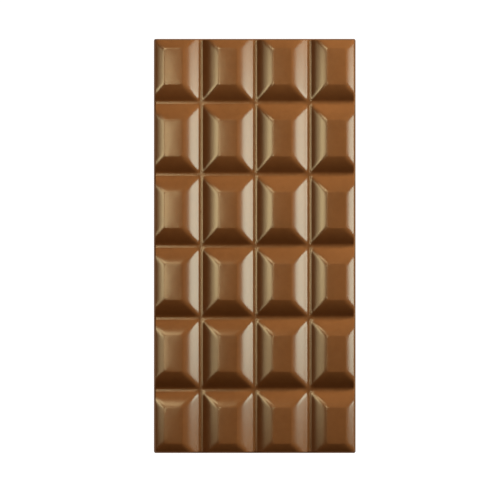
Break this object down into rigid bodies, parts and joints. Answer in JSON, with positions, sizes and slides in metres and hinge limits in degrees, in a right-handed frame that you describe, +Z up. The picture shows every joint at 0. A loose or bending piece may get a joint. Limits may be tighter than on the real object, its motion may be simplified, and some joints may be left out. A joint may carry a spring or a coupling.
{
  "type": "chocolate bar",
  "caption": "Flat milk chocolate tablet, moulded in columns and rows of bevelled pieces with grooves between them, for snapping apart and eating.",
  "frame": {"origin": "middle of the flat poured back, which is the middle of the underside of the bar's box", "axes": "+X across the columns, +Y along the length of the bar, +Z up from the back to the moulded face"},
  "size_m": [0.076, 0.156, 0.0078],
  "materials": {
    "milk_chocolate": "satin, well tempered milk chocolate off a polished mould, a little duller on the poured back"
  },
  "bodies": {
    "root": {"chocolate_bar": "milk_chocolate"}
  },
  "joints": []
}
